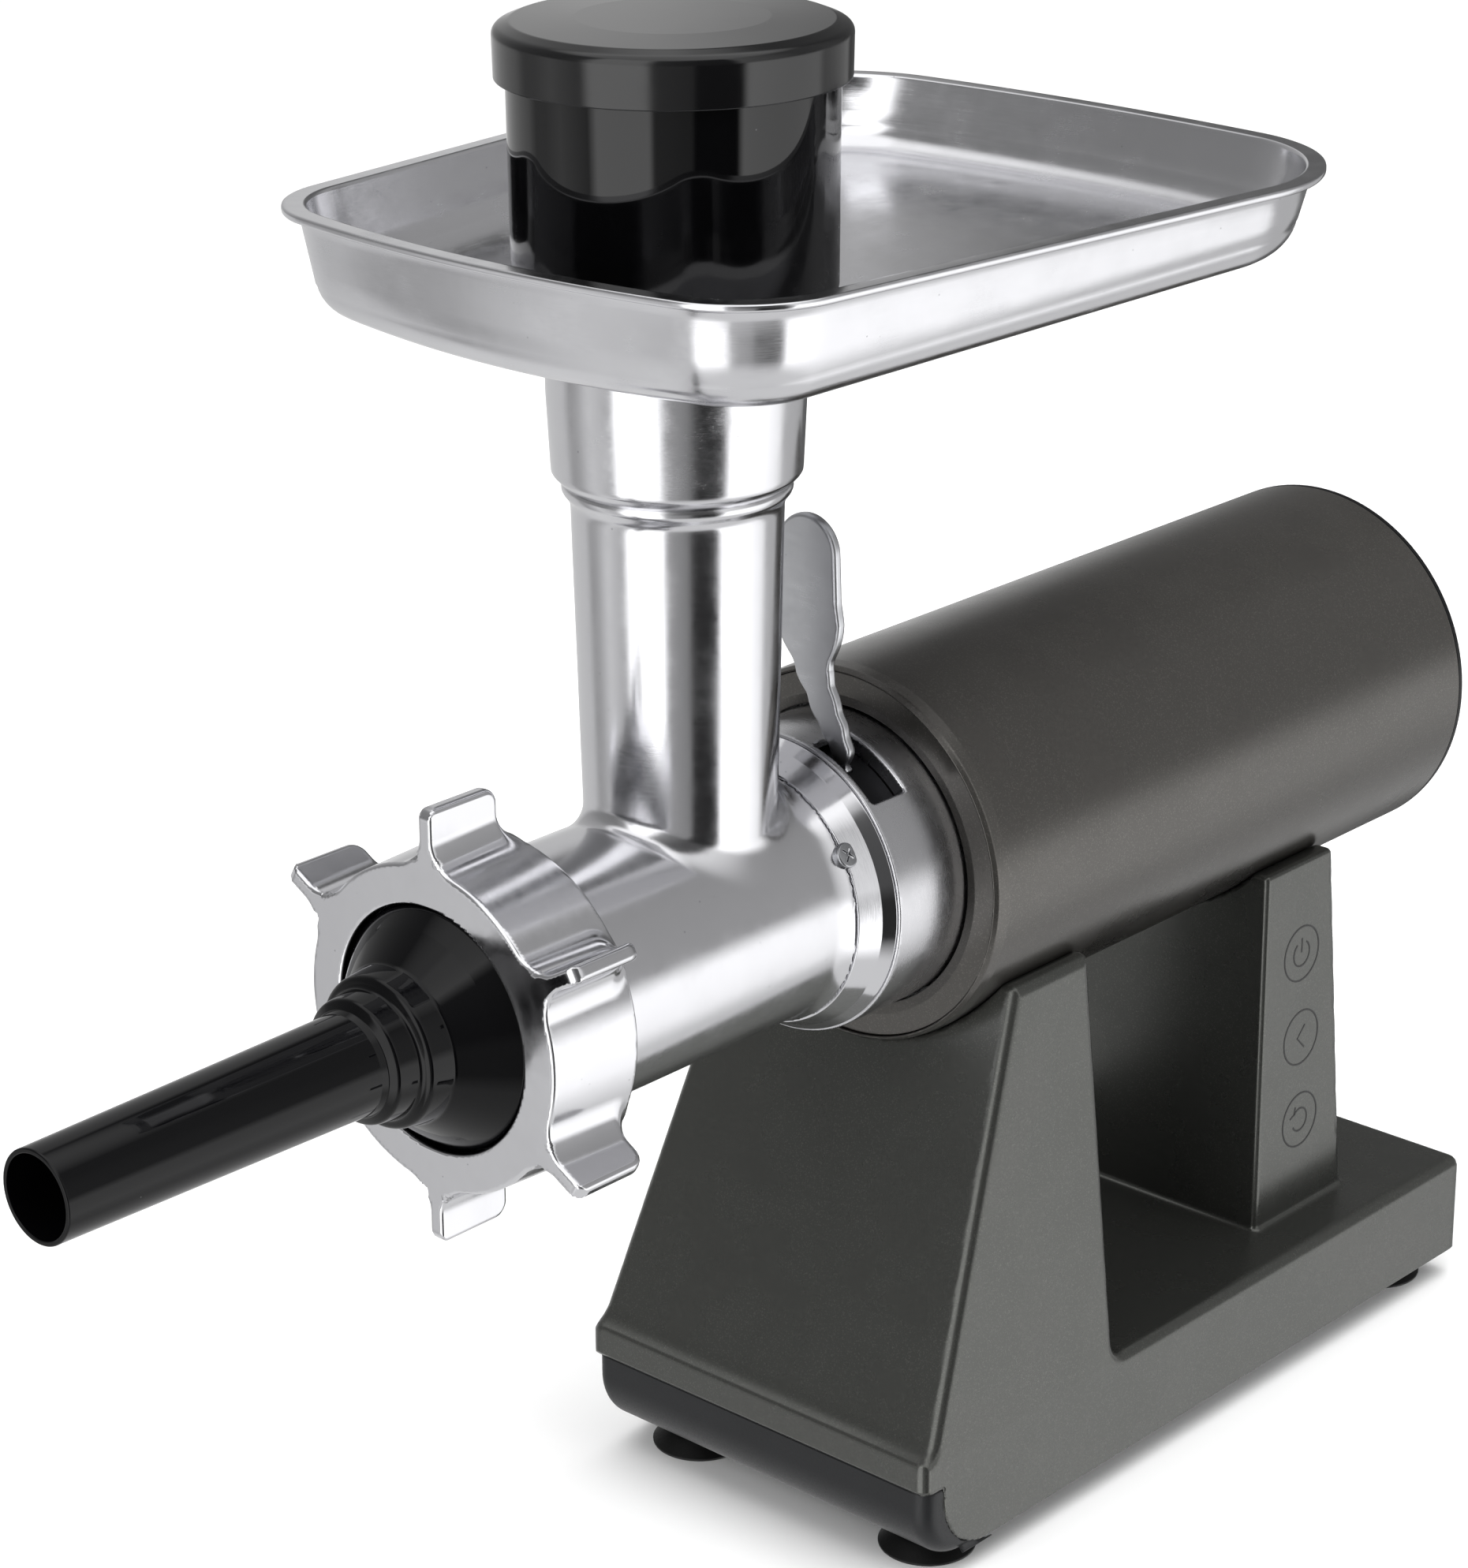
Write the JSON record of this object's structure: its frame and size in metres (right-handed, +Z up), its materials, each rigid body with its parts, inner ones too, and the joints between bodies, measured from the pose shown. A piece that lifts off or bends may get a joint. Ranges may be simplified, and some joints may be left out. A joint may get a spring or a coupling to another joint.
{
  "type": "electric meat grinder",
  "caption": "Table-top electric meat grinder: round motor housing on a two-legged stand, cast grinder head with screw-on sausage tube, hopper tray and plug-in pusher.",
  "frame": {"origin": "centre of the whole object's footprint on the table, at table height", "axes": "+Z up, -Y the front where the sausage tube points, +X the side with the touch keys; the drive axis runs along Y at x = 0, z = 188 mm"},
  "size_m": [0.2008, 0.4968, 0.4235],
  "materials": {
    "housing_paint": "dark warm-grey metallic satin paint on the tube",
    "stand_paint": "dark warm-grey metallic satin paint on the stand",
    "cast_aluminium": "polished and brushed cast aluminium",
    "tray_aluminium": "pressed and polished aluminium sheet",
    "lever_aluminium": "satin cast aluminium",
    "gloss_black": "gloss black moulded plastic",
    "satin_black": "satin black moulded plastic",
    "foot_rubber": "soft black rubber",
    "zinc_steel": "zinc-plated steel",
    "turned_steel": "turned bright steel",
    "motor_steel": "zinc-plated pressed steel",
    "lamination_steel": "stacked electrical steel",
    "copper_winding": "enamelled copper wire and bars",
    "sintered_bronze": "oiled sintered bronze",
    "ferrite": "dark ferrite magnet",
    "carbon": "pressed carbon",
    "gear_nylon": "natural nylon",
    "circuit_board": "green glass-fibre board",
    "component_black": "black component bodies"
  },
  "bodies": {
    "stand": {"housing_tube": "housing_paint", "front_bezel": "housing_paint", "rear_cap": "satin_black", "rear_cap_screws": "zinc_steel", "stand_shell": "stand_paint", "bottom_cover": "satin_black", "bottom_cover_screws": "zinc_steel", "suction_feet": "foot_rubber", "touch_board": "circuit_board", "control_board": "circuit_board", "power_components": "component_black", "cord_gland": "satin_black", "stand_bolts": "zinc_steel", "socket_collar": "cast_aluminium", "socket_lip": "cast_aluminium", "socket_screws": "zinc_steel", "gearbox_case": "cast_aluminium", "gearbox_cover": "cast_aluminium", "output_bearing": "turned_steel", "countershaft_bushes": "sintered_bronze", "motor_can": "motor_steel", "motor_magnets": "ferrite", "motor_front_plate": "motor_steel", "motor_end_bell": "component_black", "motor_bearings": "turned_steel", "carbon_brushes": "carbon", "brush_springs": "zinc_steel"},
    "rotor": {"rotor_shaft": "turned_steel", "armature_core": "lamination_steel", "armature_windings": "copper_winding", "commutator": "copper_winding", "cooling_fan": "component_black", "motor_pinion": "turned_steel"},
    "counter_gear": {"countershaft": "turned_steel", "countershaft_wheel": "gear_nylon"},
    "output_drive": {"output_shaft": "turned_steel", "output_gear": "turned_steel"},
    "lock": {"lock_ring": "turned_steel", "lock_lever": "lever_aluminium", "lever_screw": "zinc_steel"},
    "head": {"grinder_head": "cast_aluminium", "locating_screw": "zinc_steel", "auger_bush": "gear_nylon", "sausage_spider": "gear_nylon"},
    "auger": {"auger": "cast_aluminium", "auger_shank": "turned_steel"},
    "stuffer": {"sausage_tube": "gloss_black"},
    "nut": {"ring_nut": "cast_aluminium"},
    "tray": {"hopper_tray": "tray_aluminium"},
    "pusher": {"pusher_body": "gloss_black"},
    "cap": {"pusher_cap": "gloss_black"}
  },
  "joints": [
    {"name": "motor_spin", "type": "hinge", "parent": "stand", "child": "rotor", "pos_m": [0, 0.146, 0.188], "axis": [0, 1, 0], "continuous": true},
    {"name": "countershaft_spin", "type": "hinge", "parent": "stand", "child": "counter_gear", "pos_m": [0, 0.06, 0.212], "axis": [0, 1, 0], "continuous": true},
    {"name": "output_spin", "type": "hinge", "parent": "stand", "child": "output_drive", "pos_m": [0, 0.05, 0.188], "axis": [0, 1, 0], "continuous": true},
    {"name": "lock_turn", "type": "hinge", "parent": "stand", "child": "lock", "pos_m": [0, 0.0107, 0.188], "axis": [0, 1, 0], "range_deg": [0, 16]},
    {"name": "head_slide", "type": "slide", "parent": "stand", "child": "head", "axis": [0, -1, 0], "range_m": [0, 0.06]},
    {"name": "auger_spin", "type": "hinge", "parent": "head", "child": "auger", "pos_m": [0, -0.05, 0.188], "axis": [0, 1, 0], "continuous": true},
    {"name": "tube_travel", "type": "slide", "parent": "head", "child": "stuffer", "axis": [0, -1, 0], "range_m": [0, 0.021]},
    {"name": "nut_turn", "type": "hinge", "parent": "stuffer", "child": "nut", "pos_m": [0, -0.112, 0.188], "axis": [0, -1, 0], "range_deg": [0, 2520]},
    {"name": "tray_lift", "type": "slide", "parent": "head", "child": "tray", "axis": [0, 0, 1], "range_m": [0, 0.05]},
    {"name": "pusher_lift", "type": "slide", "parent": "tray", "child": "pusher", "axis": [0, 0, 1], "range_m": [0, 0.12]},
    {"name": "cap_lift", "type": "slide", "parent": "pusher", "child": "cap", "axis": [0, 0, 1], "range_m": [0, 0.03]}
  ],
  "couplings": [
    {"joint": "countershaft_spin", "follows": "motor_spin", "ratio": -0.17647},
    {"joint": "output_spin", "follows": "motor_spin", "ratio": 0.051233},
    {"joint": "auger_spin", "follows": "motor_spin", "ratio": 0.051233},
    {"joint": "tube_travel", "follows": "nut_turn", "m_per_rad": 0.00047746}
  ]
}
